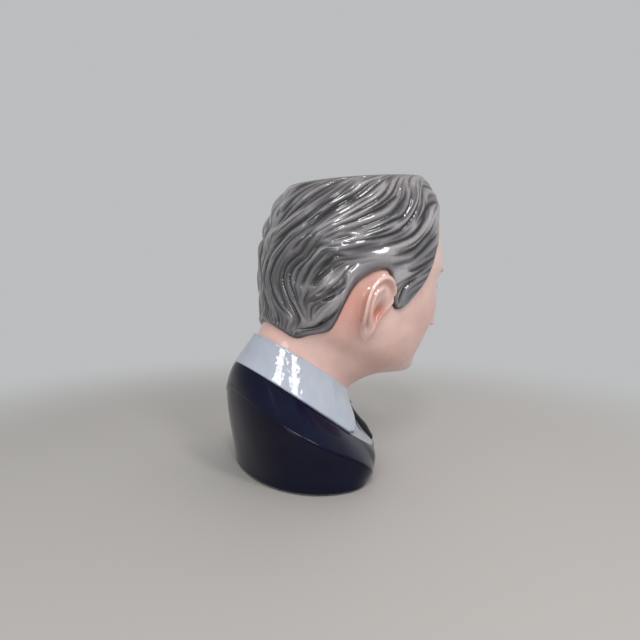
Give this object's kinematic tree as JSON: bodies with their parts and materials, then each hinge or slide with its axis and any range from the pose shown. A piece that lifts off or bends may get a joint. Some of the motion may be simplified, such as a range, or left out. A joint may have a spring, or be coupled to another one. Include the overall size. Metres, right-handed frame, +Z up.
{
  "type": "character jug",
  "caption": "Hollow glazed ceramic character jug: a bust in coat, collar and tie with swept-back hair, open at the crown for pouring, with a loop handle at one side.",
  "frame": {"origin": "middle of the foot's underside, on the surface that the jug stands on", "axes": "+Z up, -Y towards the front that the face looks to, +X towards the figure's left, where the handle is"},
  "size_m": [0.1471, 0.1497, 0.1822],
  "materials": {
    "bare_clay": "unglazed, ground flat",
    "coat_glaze": "gloss over dark navy",
    "shirt_glaze": "gloss over pale blue-grey",
    "tie_glaze": "gloss over near black",
    "skin_glaze": "gloss over soft pink, deeper in the hollows",
    "hair_glaze": "gloss over grey, dark in the grooves"
  },
  "bodies": {
    "root": {"foot": "bare_clay", "jacket_body": "coat_glaze", "lapel_left": "coat_glaze", "lapel_right": "coat_glaze", "shirt_body": "shirt_glaze", "shirt_collar": "shirt_glaze", "tie_knot": "tie_glaze", "tie_blade": "tie_glaze", "neck_and_face": "skin_glaze", "ear_left": "skin_glaze", "ear_right": "skin_glaze", "hair": "hair_glaze", "handle": "coat_glaze"}
  },
  "joints": []
}
